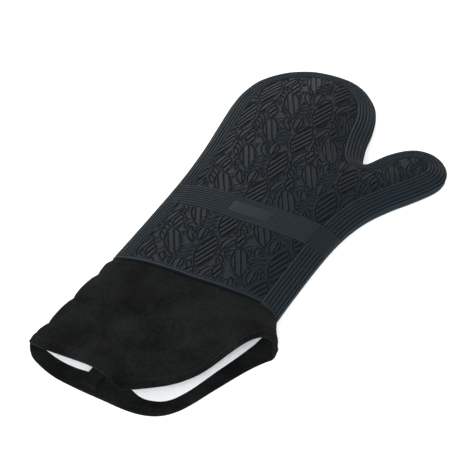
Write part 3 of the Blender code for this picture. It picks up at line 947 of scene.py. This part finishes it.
def rows_at(values, distance, wanted):
    """Rows read from an array at the wanted distances from the mouth, given for each column."""
    out = np.zeros((len(wanted), values.shape[1], 3))
    for c in range(values.shape[1]):
        for axis in range(3):
            out[:, c, axis] = np.interp(wanted[:, c], distance[::-1, c], values[::-1, c, axis])
    return out


def hem_widths(side, mouth):
    widths = np.interp(mouth[:, 0], HEM_PLACES, HEM_WIDTHS[side])
    count = 2 * HEM_SMOOTHING + 1
    return np.convolve(np.pad(widths, HEM_SMOOTHING, mode="edge"), np.ones(count) / count, mode="valid")


def add_cuff_piece(name, side, rows, look, replaced):
    """One piece of the cuff, from its rows of points in plan millimetres."""
    faces = lattice_faces(len(rows), rows.shape[1])
    if side < 0:
        faces = [f[::-1] for f in faces]
    piece = add_mesh(name, to_frame(rows.reshape(-1, 3)), faces, look)
    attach(piece, "hand")
    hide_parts(*replaced)
    return piece


def build_canvas(side_name, side, surface, normals, distance, widths, look):
    """One canvas panel: its outside, a half round over the mouth's edge and the hem turned in behind it."""
    walked = walked_length(surface[-1])
    in_hem = smoothstep(distance, 0.5, 4.0) * (1 - smoothstep(distance, 5.0, STITCH_INSET))
    puckers = 0.5 + 0.5 * np.sin(2 * math.pi * walked / PUCKER + 1.3 * np.sin(walked / 17.0))
    groove = HEM_GROOVE * ridge(distance - STITCH_INSET, 0.2, 2.0)
    relief = in_hem * (HEM_PUFF + PUCKER_HEIGHT[side] * puckers[None, :]) - groove
    relief *= smoothstep(from_side(surface), 0, 3)
    outer = surface + normals * relief[..., None]
    if side < 0:
        outer[..., 2] = np.maximum(outer[..., 2], HEM_CLEARANCE)
    outward = surface[-1] - surface[-4]
    outward /= np.linalg.norm(outward, axis=1)[:, None]
    roll = [outer[-1] - normals[-1] * HEM_RADIUS * (1 - math.cos(a)) + outward * HEM_RADIUS * math.sin(a)
            for a in HEM_ROLL_ANGLES]
    wanted = np.linspace(0.02, 1, HEM_ROWS)[:, None] * widths[None, :]
    turned_normals = rows_at(normals, distance, wanted)
    turned = rows_at(surface, distance, wanted) - turned_normals * 2 * HEM_RADIUS
    tucked = turned[-1:] + turned_normals[-1:] * HEM_TUCK
    return add_cuff_piece(f"cuff_{side_name}", side, np.concatenate([outer, np.array(roll), turned, tucked]),
                          look, [f"{side_name}_cuff_panel", f"{side_name}_mouth_binding"])


def build_cuff_lining(side_name, side, surface, normals, distance, widths, look):
    """The lining inside the cuff, from under the turned hem back to the seam."""
    share = np.linspace(0, 1, LINING_ROWS)[:, None]
    start = widths[None, :] - LINING_OVERLAP
    wanted = start + share * np.maximum(distance[:1] - start, 1.0)
    depth = 2 * HEM_RADIUS + LINING_GAP + LINING_DROP * np.minimum(1, share * 8)
    lining = rows_at(surface, distance, wanted) - rows_at(normals, distance, wanted) * depth[..., None]
    return add_cuff_piece(f"cuff_lining_{side_name}", side, lining, look,
                          [f"{side_name}_lining_hand"])


def stitch_rings(line, line_normals, length, start):
    """Rings of points along one stitch: thin and sunk at its ends, thick and risen in its middle."""
    shares = np.linspace(0, 1, THREAD_STATIONS)
    where = start + shares * STITCH_LENGTH
    centre = np.stack([np.interp(where, length, line[:, k]) for k in range(3)], axis=1)
    up = line_normals[np.clip(np.searchsorted(length, where), 1, len(length) - 1) - 1]
    along = centre[-1] - centre[0]
    along /= np.linalg.norm(along)
    sideways = np.cross(along, up[0])
    points = []
    for k, share in enumerate(shares):
        bulge = math.sin(math.pi * min(max(share, 0.02), 0.98))
        size = THREAD_RADIUS * (0.35 + 0.65 * bulge ** 0.5)
        rise = -0.25 + 0.35 * bulge
        for a in np.arange(THREAD_SIDES) * 2 * math.pi / THREAD_SIDES:
            points.append(centre[k] + up[k] * (rise + size * math.sin(a)) + sideways * size * math.cos(a))
    return points


def build_stitches(side_name, surface, normals, distance, look):
    """A row of short lock stitches that lie in the seam's groove, as one mesh of small rounded bars."""
    wanted = np.full((1, surface.shape[1]), STITCH_INSET)
    line = rows_at(surface, distance, wanted)[0]
    line_normals = rows_at(normals, distance, wanted)[0]
    length = walked_length(line)
    points, faces = [], []
    for start in np.arange(2.0, length[-1] - 3.0, STITCH_PITCH):
        base = len(points)
        points += stitch_rings(line, line_normals, length, start)
        for station in range(base, len(points) - THREAD_SIDES, THREAD_SIDES):
            for q in range(THREAD_SIDES):
                a, b = station + q, station + (q + 1) % THREAD_SIDES
                faces.append((a, b, b + THREAD_SIDES, a + THREAD_SIDES))
        faces.append(tuple(reversed(range(base, base + THREAD_SIDES))))
        faces.append(tuple(range(len(points) - THREAD_SIDES, len(points))))
    row = add_mesh(f"hem_stitches_{side_name}", to_frame(np.array(points)), faces, look)
    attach(row, "hand")
    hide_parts(f"{side_name}_mouth_stitching")


def build_cuff(side_name, side, looks):
    """One side of the cuff: its canvas, the row of stitches along the mouth and the lining."""
    surface = cuff_surface(side, *CUFF_MESH[side])
    normals = grid_normals(surface, side)
    distance = from_mouth(surface)
    widths = hem_widths(side, surface[-1])
    canvas = build_canvas(side_name, side, surface, normals, distance, widths, looks["canvas"])
    lining = build_cuff_lining(side_name, side, surface, normals, distance, widths, looks["terry"])
    build_stitches(side_name, surface, normals, distance, looks["thread"])
    return canvas, lining


def build_loop(look):
    """The hanging loop: a doubled woven tape lying on the lining, its fold towards the hand."""
    low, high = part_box("hanging_loop")
    width = TAPE_WIDENING * (high.x - low.x) / MM
    length = (high.y - low.y) / MM
    centre_x, start_y, base_z = (high.x + low.x) / 2 / MM, low.y / MM, low.z / MM
    turn_start, turn_reach, turn_rise = TAPE_TURN
    (lower, lower_arch), (upper, upper_arch) = TAPE_LAYERS
    shares = np.linspace(0, 1, 30)
    profile = [(t * (length - turn_start), lower + lower_arch * math.sin(math.pi * t)) for t in shares]
    for a in np.radians(np.linspace(-80, 80, 7)):
        profile.append((length - turn_start + turn_reach * math.cos(a),
                        (lower + upper) / 2 + turn_rise * math.sin(a)))
    for t in shares[::-1]:
        profile.append((t * (length - turn_start), upper + upper_arch * math.sin(math.pi * t)))
    across = np.linspace(-0.5, 0.5, 21)
    points = []
    for y, z in profile:
        for u in across:
            height = z * TAPE_FLATNESS + TAPE_EDGE * math.cos(10 * math.pi * u)
            points.append((centre_x + u * width, start_y + y, base_z + height))
    faces = lattice_faces(len(profile), len(across))
    loop = add_mesh("hanging_loop_tape", np.array(points) * MM, faces, look)
    solidify = loop.modifiers.new("tape", "SOLIDIFY")
    solidify.thickness = TAPE_THICKNESS * MM
    solidify.offset = 0
    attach(loop, "loop")
    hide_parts("hanging_loop")


# ---------------------------------------------------------------- studio

FLOOR_REACH = 4.0  # metres from the middle
# Lamps: name, azimuth, elevation, distance in metres, power and size in metres
LAMPS = (("key", -142, 24, 1.7, 10, 0.8), ("fill", 10, 32, 1.8, 35, 1.4))
CAMERA_PLACE = (29.5, 42, 1.4434)  # azimuth, elevation, distance in metres
CAMERA_TARGET = (-10.7, 77.5, 0)  # in plan millimetres
CAMERA_LENS = 150


def add_aimed(name, data, azimuth, elevation, distance, target=(0, 0, 0)):
    """Stands a lamp or a camera at a distance from the target and points it there."""
    a, e = math.radians(azimuth), math.radians(elevation)
    back = Vector((math.sin(a) * math.cos(e), -math.cos(a) * math.cos(e), math.sin(e)))
    made = bpy.data.objects.new(name, data)
    made.location = Vector(target) + back * distance
    made.rotation_mode = "QUATERNION"
    made.rotation_quaternion = (-back).to_track_quat("-Z", "Y")
    bpy.context.scene.collection.objects.link(made)
    return made


def build_studio():
    """A plain white sweep, a white sky and two soft lamps."""
    mesh = bpy.data.meshes.new("floor")
    r = FLOOR_REACH
    mesh.from_pydata([(-r, -r, 0), (r, -r, 0), (r, r, 0), (-r, r, 0)], [], [(0, 1, 2, 3)])
    floor = bpy.data.objects.new("floor", mesh)
    bpy.context.scene.collection.objects.link(floor)
    look = Look("white_floor", Base_Color=(0.9, 0.9, 0.9, 1), Roughness=0.9, Specular_IOR_Level=0.1,
                Emission_Color=(1, 1, 1, 1), Emission_Strength=0.6)
    mesh.materials.append(look.material)
    world = bpy.data.worlds.new("studio")
    world.use_nodes = True
    background = world.node_tree.nodes["Background"]
    background.inputs["Color"].default_value = (1, 1, 1, 1)
    background.inputs["Strength"].default_value = 0.45
    bpy.context.scene.world = world
    bpy.context.scene.view_settings.view_transform = "Standard"
    for name, azimuth, elevation, distance, power, size in LAMPS:
        lamp = bpy.data.lights.new(name, "AREA")
        lamp.shape = "SQUARE"
        lamp.size = size
        lamp.energy = power
        add_aimed(name, lamp, azimuth, elevation, distance)


def build_camera():
    """The camera stands beyond the cuff, on the thumb's side, and looks down at the mitt."""
    data = bpy.data.cameras.new("camera")
    data.lens = CAMERA_LENS
    data.sensor_width = 36
    bpy.context.scene.camera = add_aimed("camera", data, *CAMERA_PLACE, target=to_frame(CAMERA_TARGET))


def main():
    looks = {"silicone": silicone_material(), "canvas": canvas_material(), "terry": terry_material(),
             "wadding": wadding_material(), "thread": thread_material()}
    build_camera()
    build_studio()
    build_skin("palm", 1, PALM_MESH, looks["silicone"])
    build_skin("back", -1, BACK_MESH, looks["silicone"])
    for side_name, side in (("palm", 1), ("back", -1)):
        wadding = build_layer("wadding", side_name, side, WADDING_DEPTHS, looks["wadding"], WADDING_START_Y)
        hand, fingers = build_layer("lining", side_name, side, LINING_DEPTHS, looks["terry"], LINING_START_Y)
        canvas, lining = build_cuff(side_name, side, looks)
    build_loop(looks["canvas"])


main()
